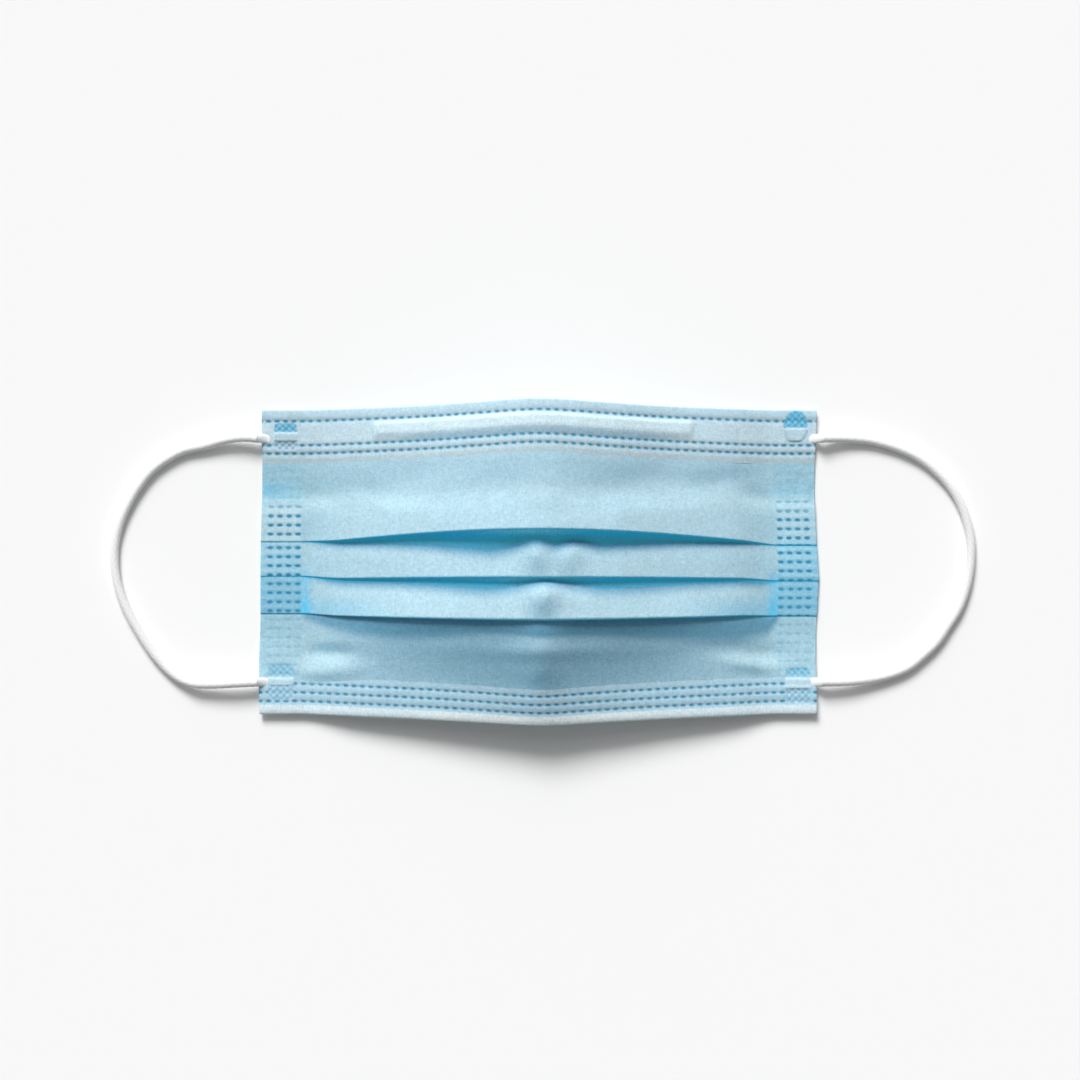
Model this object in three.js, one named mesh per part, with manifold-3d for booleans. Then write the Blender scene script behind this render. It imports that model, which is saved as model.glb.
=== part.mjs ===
// A disposable pleated face mask that lies on a table with its outer face up, its pleats a little open
// and both ear loops spread out. Millimetres: +Z is up, +Y points to the nose edge, and the origin is on
// the table under the middle of the mask.
import * as THREE from "three";
import { mergeVertices } from "three/addons/utils/BufferGeometryUtils.js";
import Module from "manifold-3d";

const wasm = await Module();
wasm.setup();

// Fabric
const HALF_WIDTH = 87.5; // from the centre line to each side edge
const BAND_INNER = 75; // the welded side bands start here
const PLY = 1.0; // wall of the pleated fabric
const GAP = 0.3; // clearance between layers and between pieces that touch
const FOLD_RADIUS = (PLY + GAP) / 2;
const BAND_SINGLE = 1.0; // height of a side band where one layer is welded
const BAND_STACK = 2.6; // and where a pleat's three layers are welded together
const BAND_PRESS = 0.68; // how far the pleats are flattened where they run into a band
const BAND_COVER = 0.15; // how far a band reaches past the layers it holds

// Hems, nose wire and ear loops
const HEM_PLY = 1.0;
const WIRE = { from: -51.5, to: 47.5, width: 4.4, thickness: 0.8, edgeInset: 4.9 };
const CORD_RADIUS = 1.4;
const CORD_SIDES = 8;
const CORD_STEPS = 64;
const WELD = { reach: 11.5, outset: 1.2, width: 4.2, thickness: 1.0, exitZ: 3.5, sides: 12 };

// The arch: how a height grows from the bands to the centre line. A larger peak gives flatter flanks,
// and a larger round gives a blunter ridge.
function arch(x, peak, round) {
  const t = Math.min(1, Math.abs(x) / BAND_INNER);
  const top = Math.hypot(1, round);
  return Math.pow(Math.max(0, (top - Math.hypot(t, round)) / (top - round)), peak);
}

// Lines that run from side to side over the wall's middle surface, in order from the nose edge to the
// chin edge. A row gives its place at the bands and at the centre line. "under" marks a pleat's outer
// fold, where the fabric turns back below itself, and "back" its hidden fold.
const LINES = [
  { name: "nose edge", sideY: 46.2, sideZ: 0.65, midY: 49.3, midZ: 17.5, peak: 1.7, round: 0.16 },
  { name: "nose hem", sideY: 31.0, sideZ: 0.65, midY: 33.6, midZ: 20.2, peak: 1.6, round: 0.14 },
  { name: "brow", sideY: 18.6, sideZ: 0.65, midY: 22.5, midZ: 21.6, peak: 1.5, round: 0.12 },
  { name: "over pleat 1", sideY: 15.4, sideZ: 3.25, midY: 17.0, midZ: 22.4, peak: 1.4, round: 0.12 },
  { name: "fold 1", sideY: 6.8, sideZ: 3.25, midY: 10.9, midZ: 22.6, peak: 1.35, round: 0.1, turn: "under" },
  { name: "tuck 1", sideY: 14.2, sideZ: 1.95, midY: 16.3, midZ: 16.2, peak: 1.3, round: 0.1, turn: "back" },
  { name: "panel 2 top", sideY: 5.8, sideZ: 0.65, midY: 9.0, midZ: 16.6, peak: 1.35, round: 0.1 },
  { name: "panel 2 rise", sideY: 3.2, sideZ: 3.25, midY: 2.5, midZ: 20.0, peak: 1.35, round: 0.1 },
  { name: "fold 2", sideY: -4.3, sideZ: 3.25, midY: -3.8, midZ: 22.7, peak: 1.3, round: 0.1, turn: "under" },
  { name: "tuck 2", sideY: 2.2, sideZ: 1.95, midY: 3.2, midZ: 16.4, peak: 1.3, round: 0.1, turn: "back" },
  { name: "panel 3 top", sideY: -5.3, sideZ: 0.65, midY: -4.2, midZ: 18.2, peak: 1.3, round: 0.1 },
  { name: "panel 3 rise", sideY: -7.9, sideZ: 3.25, midY: -11.0, midZ: 21.2, peak: 1.3, round: 0.1 },
  { name: "fold 3", sideY: -15.8, sideZ: 3.25, midY: -16.6, midZ: 22.9, peak: 1.25, round: 0.1, turn: "under" },
  { name: "tuck 3", sideY: -8.9, sideZ: 1.95, midY: -10.4, midZ: 16.5, peak: 1.25, round: 0.1, turn: "back" },
  { name: "chin top", sideY: -18.0, sideZ: 0.65, midY: -18.0, midZ: 18.2, peak: 1.25, round: 0.09 },
  { name: "chin bend", sideY: -24.0, sideZ: 0.65, midY: -24.5, midZ: 17.4, peak: 1.2, round: 0.08 },
  { name: "chin slope", sideY: -30.5, sideZ: 0.65, midY: -32.0, midZ: 14.4, peak: 1.2, round: 0.08 },
  { name: "chin hem", sideY: -36.2, sideZ: 0.65, midY: -39.3, midZ: 11.7, peak: 1.2, round: 0.08 },
  { name: "chin edge", sideY: -46.2, sideZ: 0.65, midY: -49.3, midZ: 8.5, peak: 1.2, round: 0.08 },
];

// Small crests and dents near the centre line, left by the mask's folding in half.
const CRESTS = [
  { name: "panel 2 top", x: -0.8, rise: 1.7, spread: 4.5 },
  { name: "panel 2 top", x: 9.6, rise: 1.5, spread: 4.0 },
  { name: "panel 3 top", x: 1.7, rise: 1.6, spread: 8.0 },
  { name: "chin bend", x: 1.0, rise: 0.9, spread: 7.0 },
];

// Where each section is cut, on one side of the centre line.
const BODY_STATIONS = [0, 3.5, 7, 11, 16, 22, 29, 36, 43, 50, 57, 63, 68, 71.5, 74, 76.5];
const HEM_STATIONS = [0, 3.5, 7, 11, 16, 22, 29, 36, 43, 48, 52, 56.5, 63, 68, 71.5, 74, 76.5, HALF_WIDTH];

const mirrored = (half) => [...half.slice(1).reverse().map((x) => -x), ...half];

const smooth = (t) => {
  const s = THREE.MathUtils.clamp(t, 0, 1);
  return s * s * (3 - 2 * s);
};

// Where a line of the table is at x, as a point across the mask.
function placeOf(line, x) {
  const t = Math.min(1, Math.abs(x) / BAND_INNER);
  const press = 1 - (1 - BAND_PRESS) * smooth((Math.abs(x) - 68) / (BAND_INNER - 68));
  const crest = CRESTS.filter((c) => c.name === line.name)
    .map((c) => c.rise * Math.exp(-(((x - c.x) / c.spread) ** 2)))
    .reduce((sum, rise) => sum + rise, 0);
  return {
    y: line.sideY + (line.midY - line.sideY) * Math.cos((t * Math.PI) / 2),
    z: line.sideZ + (line.midZ - line.sideZ) * arch(x, line.peak, line.round) + crest,
    press,
  };
}

// The middle of the wall at x, from the nose edge to the chin edge, with a half circle at each fold.
function wallLine(x) {
  const points = [];
  for (const line of LINES) {
    const p = placeOf(line, x);
    points.push(new THREE.Vector2(p.y, p.z));
    if (!line.turn) continue;
    const side = line.turn === "under" ? -1 : 1;
    for (let k = 1; k <= 3; k++) {
      const angle = (k * Math.PI) / 3;
      const y = p.y + side * FOLD_RADIUS * Math.sin(angle);
      points.push(new THREE.Vector2(y, p.z - FOLD_RADIUS * (1 - Math.cos(angle))));
    }
  }
  points[0].x -= BAND_COVER;
  points.at(-1).x += BAND_COVER;
  return points;
}

// A line's outline once it has a wall of that thickness, mitred at its corners.
function thickened(line, thickness) {
  const left = [];
  const right = [];
  line.forEach((p, i) => {
    const before = line[Math.max(i - 1, 0)];
    const after = line[Math.min(i + 1, line.length - 1)];
    const come = (i ? p.clone().sub(before) : after.clone().sub(p)).normalize();
    const go = (i < line.length - 1 ? after.clone().sub(p) : come.clone()).normalize();
    const across = new THREE.Vector2(-come.y - go.y, come.x + go.x).normalize();
    const half = thickness / 2 / Math.max(0.5, across.dot(new THREE.Vector2(-go.y, go.x)));
    left.push(p.clone().addScaledVector(across, half));
    right.unshift(p.clone().addScaledVector(across, -half));
  });
  return [...left, ...right];
}

// A closed solid through rings that all have the same number of points, with flat ends.
function loft(rings) {
  const size = rings[0].length;
  const positions = rings.flat().flatMap((p) => [p.x, p.y, p.z]);
  const faces = [];
  for (let r = 0; r < rings.length - 1; r++) {
    for (let i = 0; i < size; i++) {
      const a = r * size + i;
      const b = r * size + ((i + 1) % size);
      faces.push(a, b, a + size, b, b + size, a + size);
    }
  }
  const last = (rings.length - 1) * size;
  for (const [i, j, k] of THREE.ShapeUtils.triangulateShape(flatOutline(rings[0]), [])) {
    faces.push(i, k, j);
  }
  for (const [i, j, k] of THREE.ShapeUtils.triangulateShape(flatOutline(rings.at(-1)), [])) {
    faces.push(last + i, last + j, last + k);
  }
  const geometry = new THREE.BufferGeometry();
  geometry.setAttribute("position", new THREE.Float32BufferAttribute(positions, 3));
  geometry.setIndex(faces);
  return geometry;
}

const flatOutline = (ring) => ring.map((p) => new THREE.Vector2(p.y, p.z));

// Outlines across the mask, each set at its own x. They run anticlockwise when seen from +X.
function ringsAlong(stations, outlineAt) {
  return stations.map((x) => {
    const outline = outlineAt(x);
    const turned = THREE.ShapeUtils.area(outline) < 0 ? outline.reverse() : outline;
    return turned.map((p) => new THREE.Vector3(x, p.x, p.y));
  });
}

function solidOf(geometry) {
  const bare = geometry.clone();
  bare.deleteAttribute("normal");
  bare.deleteAttribute("uv");
  const merged = mergeVertices(bare);
  return new wasm.Manifold(
    new wasm.Mesh({
      numProp: 3,
      vertProperties: merged.attributes.position.array,
      triVerts: new Uint32Array(merged.index.array),
    }),
  );
}

function geometryOf(solid) {
  const { vertProperties, triVerts } = solid.getMesh();
  const geometry = new THREE.BufferGeometry();
  geometry.setAttribute("position", new THREE.BufferAttribute(vertProperties, 3));
  geometry.setIndex(new THREE.BufferAttribute(triVerts, 1));
  return geometry;
}

// One side band: the pleats welded into a single strip that is flat below and stepped above.
function bandOutline() {
  const sideOf = (name) => LINES.find((line) => line.name === name).sideY;
  const top = [[sideOf("nose edge"), BAND_SINGLE]];
  let stepEnd = sideOf("nose edge");
  for (const pleat of [1, 2, 3]) {
    const tuckEnd = sideOf(`tuck ${pleat}`) + FOLD_RADIUS + PLY / 2;
    const foldEnd = sideOf(`fold ${pleat}`) - FOLD_RADIUS - PLY / 2 - BAND_COVER;
    const rampStart = Math.min(tuckEnd + 4, stepEnd - 0.05);
    top.push([rampStart, BAND_SINGLE], [tuckEnd + 1.2, BAND_STACK], [foldEnd, BAND_STACK], [foldEnd, BAND_SINGLE]);
    stepEnd = foldEnd;
  }
  top.push([sideOf("chin edge"), BAND_SINGLE]);
  const ends = [[sideOf("chin edge"), 0], [sideOf("nose edge"), 0]];
  return [...top, ...ends].map(([y, z]) => new THREE.Vector2(y, z));
}

function pleatedPanel() {
  const squashed = (x) => {
    const { press } = placeOf(LINES[0], x);
    return thickened(wallLine(x), PLY).map((p) => new THREE.Vector2(p.x, p.y * press));
  };
  const middle = solidOf(loft(ringsAlong(mirrored(BODY_STATIONS), squashed)));
  const bands = [-1, 1].map((side) => {
    const ends = [side * BAND_INNER, side * HALF_WIDTH].sort((a, b) => a - b);
    return solidOf(loft(ringsAlong(ends, bandOutline)));
  });
  return geometryOf(bands.reduce((body, band) => body.add(band), middle));
}

// Height of the fabric's upper face over the table, at x and y, along the lines from one name to another.
function faceHeight(x, y, from, to) {
  const first = LINES.findIndex((line) => line.name === from);
  const last = LINES.findIndex((line) => line.name === to);
  const { press } = placeOf(LINES[0], x);
  const points = LINES.slice(first, last + 1).map((line) => placeOf(line, x));
  const k = Math.max(1, points.findIndex((p, i) => i && y >= p.y));
  const [a, b] = [points[k - 1], points[k]];
  const middle = a.z + ((b.z - a.z) * (a.y - y)) / (a.y - b.y);
  return Math.max((middle + PLY / 2) * press, Math.abs(x) > BAND_INNER - 2 ? BAND_SINGLE : 0);
}

// How far the nose hem lifts over the wire at x, and at a distance in from the edge.
function wireLift(x, inset) {
  const along = smooth((x - WIRE.from + 5) / 4.5) * smooth((WIRE.to + 5 - x) / 4.5);
  const across = Math.abs(inset - WIRE.edgeInset) < WIRE.width / 2 + 2 * GAP ? 1 : 0;
  return (WIRE.thickness + GAP) * along * across;
}

// A hem: a strip folded over the fabric's edge, with a lip outside it. Insets are measured in from the lip.
function hem({ edge, inner, insets, toward, lifted }) {
  const edgeLine = LINES.find((line) => line.name === edge);
  const innerLine = LINES.find((line) => line.name === inner);
  const [from, to] = toward > 0 ? [edge, inner] : [inner, edge];
  const outlineAt = (x) => {
    const lipIn = placeOf(edgeLine, x).y + toward * GAP;
    const width = Math.abs(lipIn - placeOf(innerLine, x).y);
    const span = insets.map((inset) => {
      const y = lipIn - toward * Math.min(inset, width);
      const lift = lifted ? wireLift(x, inset) : 0;
      return { y, z: faceHeight(x, y, from, to) + GAP + lift };
    });
    const low = Math.max(0.2, span[0].z - GAP - PLY);
    const lipOut = lipIn + toward * HEM_PLY;
    return [
      new THREE.Vector2(lipIn, low),
      ...span.map((p) => new THREE.Vector2(p.y, p.z)),
      ...span.toReversed().map((p) => new THREE.Vector2(p.y, p.z + HEM_PLY)),
      new THREE.Vector2(lipOut, span[0].z + HEM_PLY * 0.4),
      new THREE.Vector2(lipOut, low),
    ];
  };
  return loft(ringsAlong(mirrored(HEM_STATIONS), outlineAt));
}

// The flat nose wire, which lies on the fabric inside the nose hem.
function noseWire() {
  const count = 22;
  const stations = Array.from({ length: count + 1 }, (_, i) => WIRE.from + ((WIRE.to - WIRE.from) * i) / count);
  return loft(
    ringsAlong(stations, (x) => {
      const middle = placeOf(LINES[0], x).y + GAP - WIRE.edgeInset;
      const [yIn, yOut] = [middle - WIRE.width / 2, middle + WIRE.width / 2];
      const zAt = (y) => faceHeight(x, y, "nose edge", "nose hem") + GAP;
      return [
        new THREE.Vector2(yIn, zAt(yIn)),
        new THREE.Vector2(yOut, zAt(yOut)),
        new THREE.Vector2(yOut, zAt(yOut) + WIRE.thickness),
        new THREE.Vector2(yIn, zAt(yIn) + WIRE.thickness),
      ];
    }),
  );
}

// The end of an ear loop, pressed flat on the hem: round where the cord comes in, then a thin strip.
function loopWeld(side, y) {
  const bottom = BAND_SINGLE + 2 * GAP + HEM_PLY;
  const outerX = HALF_WIDTH + WELD.outset;
  const rows = [
    { x: outerX, halfY: CORD_RADIUS, halfZ: CORD_RADIUS, z: WELD.exitZ },
    { x: HALF_WIDTH + 0.2, halfY: 1.5, halfZ: 1.2, z: bottom + 1.2 },
    { x: HALF_WIDTH - 2.5, halfY: 1.8, halfZ: 0.75, z: bottom + 0.75 },
    { x: HALF_WIDTH - 4.5, halfY: WELD.width / 2, halfZ: WELD.thickness / 2, z: bottom + WELD.thickness / 2 },
    { x: HALF_WIDTH - WELD.reach, halfY: WELD.width / 2, halfZ: WELD.thickness / 2, z: bottom + WELD.thickness / 2 },
  ];
  const ordered = side > 0 ? rows.toReversed() : rows;
  const rings = ordered.map((row) =>
    Array.from({ length: WELD.sides }, (_, k) => {
      const angle = (2 * Math.PI * (k + 0.5)) / WELD.sides;
      return new THREE.Vector3(side * row.x, y + row.halfY * Math.cos(angle), row.z + row.halfZ * Math.sin(angle));
    }),
  );
  return loft(rings);
}

// An ear loop lies on the table from one weld round to the other, and rises to the hem at both ends.
function earLoop(side, route) {
  const curve = new THREE.CatmullRomCurve3(
    route.map(([x, y, z]) => new THREE.Vector3(side * x, y, z)),
    false,
    "centripetal",
  );
  const section = new THREE.Shape(
    Array.from({ length: CORD_SIDES }, (_, k) => {
      const angle = (2 * Math.PI * (k + 0.5)) / CORD_SIDES;
      return new THREE.Vector2(CORD_RADIUS * Math.cos(angle), CORD_RADIUS * Math.sin(angle));
    }),
  );
  return new THREE.ExtrudeGeometry(section, { steps: CORD_STEPS, extrudePath: curve, bevelEnabled: false });
}

const LAID = CORD_RADIUS + 0.05; // height of a cord's middle where it lies on the table
const CORD_START = HALF_WIDTH + WELD.outset + GAP;

const LEFT_ROUTE = [
  [CORD_START, 38.2, WELD.exitZ], [93.0, 38.5, 3.2], [99.2, 37.7, 2.4], [105.7, 35.9, 1.7], [112.1, 34.5, LAID],
  [117.2, 31.9, LAID], [121.7, 28.6, LAID], [125.5, 24.2, LAID], [129.0, 18.5, LAID], [131.9, 12.1, LAID],
  [133.5, 5.7, LAID], [133.8, -0.1, LAID], [133.2, -5.8, LAID], [131.6, -11.6, LAID], [128.7, -18.0, LAID],
  [124.9, -24.4, LAID], [121.0, -30.1, LAID], [117.2, -34.3, LAID], [113.3, -37.2, 1.6], [108.9, -38.8, 1.9],
  [103.1, -39.1, 2.4], [96.7, -38.8, 3.1], [CORD_START, -38.4, WELD.exitZ],
];

const RIGHT_ROUTE = [
  [CORD_START, 38.2, WELD.exitZ], [91.9, 38.3, 3.3], [97.7, 38.3, 2.7], [104.0, 37.7, 2.0], [109.2, 36.5, 1.6],
  [114.9, 34.5, LAID], [120.0, 31.9, LAID], [124.5, 28.4, LAID], [129.0, 23.6, LAID], [132.2, 18.5, LAID],
  [134.5, 12.7, LAID], [135.7, 7.0, LAID], [135.9, 1.8, LAID], [135.4, -3.9, LAID], [134.1, -9.7, LAID],
  [131.9, -15.4, LAID], [128.7, -20.5, LAID], [125.2, -25.7, LAID], [120.7, -30.1, LAID], [116.2, -33.7, LAID],
  [111.1, -35.9, 1.6], [106.0, -37.2, 1.9], [97.7, -38.2, 2.9], [CORD_START, -38.4, WELD.exitZ],
];

const blue = new THREE.MeshStandardMaterial({ color: 0x9fcfe2, roughness: 0.85, metalness: 0 });
const white = new THREE.MeshStandardMaterial({ color: 0xdfe9ef, roughness: 0.85, metalness: 0 });
const wireWhite = new THREE.MeshStandardMaterial({ color: 0xf2f4f5, roughness: 0.5, metalness: 0 });
const elastic = new THREE.MeshStandardMaterial({ color: 0xf1f1f0, roughness: 0.8, metalness: 0 });

const mask = new THREE.Group();

function add(name, geometry, material) {
  const mesh = new THREE.Mesh(geometry, material);
  mesh.name = name;
  mask.add(mesh);
}

add("pleated_panel", pleatedPanel(), blue);
add(
  "nose_hem",
  hem({
    edge: "nose edge",
    inner: "nose hem",
    insets: [0, 1.4, 2.3, 7.5, 8.6, 12.0, 99],
    toward: 1,
    lifted: true,
  }),
  white,
);
add("chin_hem", hem({ edge: "chin edge", inner: "chin hem", insets: [0, 2.5, 6.0, 99], toward: -1 }), white);
add("nose_wire", noseWire(), wireWhite);
for (const [name, side, route] of [["left", -1, LEFT_ROUTE], ["right", 1, RIGHT_ROUTE]]) {
  add(`ear_loop_${name}`, earLoop(side, route), elastic);
  add(`loop_weld_nose_${name}`, loopWeld(side, 38.2), elastic);
  add(`loop_weld_chin_${name}`, loopWeld(side, -38.4), elastic);
}

export default mask;
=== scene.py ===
"""A disposable pleated face mask that lies on a table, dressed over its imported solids."""

import logging
import math
from dataclasses import dataclass, field
from enum import Enum
from typing import Callable, Sequence

import bpy
import numpy as np
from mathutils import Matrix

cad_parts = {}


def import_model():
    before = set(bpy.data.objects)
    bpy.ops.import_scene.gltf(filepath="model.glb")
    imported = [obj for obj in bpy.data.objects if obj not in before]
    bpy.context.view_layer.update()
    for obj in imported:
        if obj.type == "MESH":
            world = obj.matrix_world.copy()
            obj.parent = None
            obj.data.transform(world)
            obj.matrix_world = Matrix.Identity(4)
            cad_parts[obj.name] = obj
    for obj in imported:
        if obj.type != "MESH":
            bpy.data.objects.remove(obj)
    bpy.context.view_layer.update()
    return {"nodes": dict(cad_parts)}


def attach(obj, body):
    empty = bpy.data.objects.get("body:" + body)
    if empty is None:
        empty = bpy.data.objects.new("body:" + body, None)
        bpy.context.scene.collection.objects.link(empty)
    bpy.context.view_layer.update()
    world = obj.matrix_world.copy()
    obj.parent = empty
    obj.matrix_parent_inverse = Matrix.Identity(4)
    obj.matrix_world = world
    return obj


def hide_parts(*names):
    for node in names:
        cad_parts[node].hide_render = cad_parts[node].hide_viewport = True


LOG = logging.getLogger("face_mask")

MM = 0.001

# Half of the mask's width, and how far from the middle its side bands begin, in millimetres.
HALF_WIDTH = 87.5
BAND_INNER = 75.0

# The weld rows of the two hems, as distances in from the edge.
NOSE_ROWS = (3.5, 11.1, 13.7)
CHIN_ROWS = (3.9, 6.6, 9.35)

# Where a colour mix takes its share and its two colours, and where it gives its result.
MIX_SHARE = 0
MIX_COLOURS = (6, 7)
MIX_RESULT = 2

Colour = tuple[float, float, float]
Outline = np.ndarray


class Side(Enum):
    """The two ends of the mask, as the sign of their X."""

    LEFT = -1
    RIGHT = 1


class Edge(Enum):
    """The two long edges of the mask."""

    NOSE = "nose"
    CHIN = "chin"


def smooth(low: float, high: float, value: np.ndarray) -> np.ndarray:
    """Return an S curve from 0 at low to 1 at high, which may be the lower of the two."""
    t = np.clip((np.asarray(value, dtype=float) - low) / (high - low), 0.0, 1.0)
    return t * t * (3.0 - 2.0 * t)


def window(rise: tuple[float, float], fall: tuple[float, float], value: np.ndarray) -> np.ndarray:
    """Return a curve that rises from 0 to 1 over one stretch and falls back over another."""
    return smooth(*rise, value) * smooth(*fall[::-1], value)


def bell(value: np.ndarray, centre: float, spread: float) -> np.ndarray:
    """Return a bell curve of height 1 round a centre."""
    return np.exp(-(((np.asarray(value, dtype=float) - centre) / spread) ** 2))


def distances(points: np.ndarray) -> np.ndarray:
    """Return how far along its line each point is."""
    steps = np.linalg.norm(np.diff(points, axis=0), axis=1)
    return np.concatenate([[0.0], np.cumsum(steps)])


class Number:
    """A shader socket that carries a number, with the usual operators."""

    def __init__(self, graph: "ShaderGraph", socket: bpy.types.NodeSocket) -> None:
        """Wrap a socket of a graph.

        Args:
            graph: The graph that the socket is in.
            socket: The output socket.
        """
        self.graph = graph
        self.socket = socket

    def _math(self, operation: str, *values: object) -> "Number":
        """Return the result of a Math node.

        Args:
            operation: The node's operation.
            *values: Its inputs, numbers or sockets.

        Returns:
            The wrapped result.
        """
        sockets = {i: value for i, value in enumerate(values)}
        return Number(self.graph, self.graph.node("ShaderNodeMath", {"operation": operation}, sockets))

    def __add__(self, other: object) -> "Number":
        """Return the sum."""
        return self._math("ADD", self, other)

    __radd__ = __add__

    def __mul__(self, other: object) -> "Number":
        """Return the product."""
        return self._math("MULTIPLY", self, other)

    __rmul__ = __mul__

    def __sub__(self, other: object) -> "Number":
        """Return the difference."""
        return self._math("SUBTRACT", self, other)

    def __rsub__(self, other: object) -> "Number":
        """Return other minus this."""
        return self._math("SUBTRACT", other, self)

    def clamped(self) -> "Number":
        """Return the value held between 0 and 1."""
        return self._math("MINIMUM", self._math("MAXIMUM", self, 0.0), 1.0)


class ShaderGraph:
    """The node tree of one material."""

    def __init__(self, name: str) -> None:
        """Make an empty material.

        Args:
            name: The material's name.
        """
        self.material = bpy.data.materials.new(name)
        self.material.use_nodes = True
        self.tree = self.material.node_tree
        self.tree.nodes.clear()

    def node(self, kind: str, settings: dict[str, object], sockets: dict, output: object = 0) -> object:
        """Add a node and return one of its output sockets.

        Args:
            kind: The node's type.
            settings: Its properties, set before its sockets.
            sockets: Input name or index to a value or a link.
            output: The name or index of the output to return.

        Returns:
            The output socket, or the node when it has none.
        """
        made = self.tree.nodes.new(kind)
        for name, value in settings.items():
            setattr(made, name, value)
        for name, value in sockets.items():
            target = made.inputs[name]
            source = value.socket if isinstance(value, Number) else value
            if isinstance(source, bpy.types.NodeSocket):
                self.tree.links.new(source, target)
            else:
                target.default_value = source
        return made.outputs[output] if len(made.outputs) else made

    def place(self) -> object:
        """Return the Object coordinates."""
        return self.node("ShaderNodeTexCoord", {}, {}, "Object")

    def channels(self, attribute: str) -> tuple[Number, Number, Number]:
        """Return the three channels of a colour attribute.

        Args:
            attribute: The attribute's name.

        Returns:
            Its red, green and blue.
        """
        colour = self.node("ShaderNodeAttribute", {"attribute_name": attribute}, {}, "Color")
        red = self.node("ShaderNodeSeparateColor", {}, {0: colour}, 0)
        return tuple(Number(self, red.node.outputs[i]) for i in range(3))

    def noise(
        self, scale: float, detail: float, stretch: Colour = (1.0, 1.0, 1.0), turn: float = 0.0
    ) -> Number:
        """Return a noise pattern.

        Args:
            scale: Waves per metre.
            detail: Octaves of finer noise.
            stretch: How much each axis is scaled first.
            turn: Turn about Z in degrees.

        Returns:
            The noise, round 0.5.
        """
        rotation = (0.0, 0.0, math.radians(turn))
        mapping = {"Vector": self.place(), "Rotation": rotation, "Scale": stretch}
        vector = self.node("ShaderNodeMapping", {"vector_type": "POINT"}, mapping)
        inputs = {"Vector": vector, "Scale": scale, "Detail": detail, "Roughness": 0.6}
        return Number(self, self.node("ShaderNodeTexNoise", {}, inputs))

    def bump(self, strength: float, depth: float, height: Number) -> object:
        """Return a normal that follows a relief, whose depth is in metres."""
        return self.node("ShaderNodeBump", {}, {"Strength": strength, "Distance": depth, "Height": height})

    def mix(self, first: object, second: object, share: object, blend: str = "MIX") -> object:
        """Mix two colours.

        Args:
            first: The colour at share 0.
            second: The colour at share 1.
            share: A number or a Number.
            blend: The way they mix.

        Returns:
            The mixed colour's socket.
        """
        settings = {"data_type": "RGBA", "blend_type": blend, "clamp_factor": True}
        sockets = {MIX_SHARE: share}
        for index, colour in zip(MIX_COLOURS, (first, second)):
            sockets[index] = (*colour, 1.0) if isinstance(colour, tuple) else colour
        return self.node("ShaderNodeMix", settings, sockets, MIX_RESULT)

    def finish(self, sockets: dict) -> bpy.types.Material:
        """Close the graph with a surface shader.

        Args:
            sockets: Input name to a value or a link of the surface.

        Returns:
            The finished material.
        """
        surface = self.node("ShaderNodeBsdfPrincipled", {}, sockets)
        self.node("ShaderNodeOutputMaterial", {}, {"Surface": surface})
        return self.material


@dataclass(frozen=True)
class NonWoven:
    """Spunbond cloth: soft fibres, fused here and there into thin film.

    deep is its bluer colour, where plies stack and where blue shade is painted on it. pale is its
    colour where it is painted paler, much of it as painted light. film is its colour where it is
    fused, and also where grey shade is painted below the folds. blotch and fibre say how much its
    clouds and its fibres lighten and darken it. seep is a painted glow, given off where it is deep,
    that stands in for the light that comes through it.
    """

    name: str
    cloth: Colour
    deep: Colour
    pale: Colour
    film: Colour
    glow: float = 0.4
    blotch: float = 0.14
    fibre: float = 0.442
    painted_seep: Colour = (0.012, 0.112, 0.125)
    painted_glow_from: float = 0.4

    def material(self) -> bpy.types.Material:
        """Return the cloth's material."""
        graph = ShaderGraph(self.name)
        # The channels hold the weld dashes with the grey shade painted below the folds, the blue of the
        # plies with blue painted shade, and pallor with painted light.
        weld, depth, pallor = graph.channels("dye_with_painted_light")
        colour = graph.mix(self.cloth, self.deep, depth)
        colour = graph.mix(colour, self.pale, pallor)
        colour = graph.mix(colour, self.film, weld)
        cloudy = graph.noise(scale=160.0, detail=2.0)
        fibres = graph.noise(scale=700.0, detail=3.0, stretch=(1.0, 2.2, 1.0), turn=38.0)
        crossing = graph.noise(scale=800.0, detail=2.0, stretch=(2.4, 1.0, 1.0), turn=-30.0)
        grain = (cloudy - 0.5) * self.blotch + (fibres + crossing - 1.0) * self.fibre
        # Painted glow: where the cloth is deep, in the painted shade of the gaps, it gives off the seep
        # colour as emission, standing in for the light that comes through it.
        painted_glow_share = ((depth - self.painted_glow_from) * 1.7).clamped()
        return graph.finish(
            {
                "Base Color": graph.mix(colour, grain + 1.0, 1.0, "MULTIPLY"),
                "Roughness": 0.86,
                "Specular IOR Level": 0.25,
                "Sheen Weight": 0.12,
                "Sheen Roughness": 0.5,
                "Subsurface Weight": self.glow,
                "Subsurface Radius": (0.5, 0.8, 1.0),
                "Subsurface Scale": 0.0005,
                "Emission Color": graph.mix((0.0, 0.0, 0.0), self.painted_seep, painted_glow_share),
                "Emission Strength": 1.0,
                "Normal": graph.bump(strength=0.35, depth=0.00025, height=fibres * 0.6 + crossing * 0.4),
            }
        )


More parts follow.
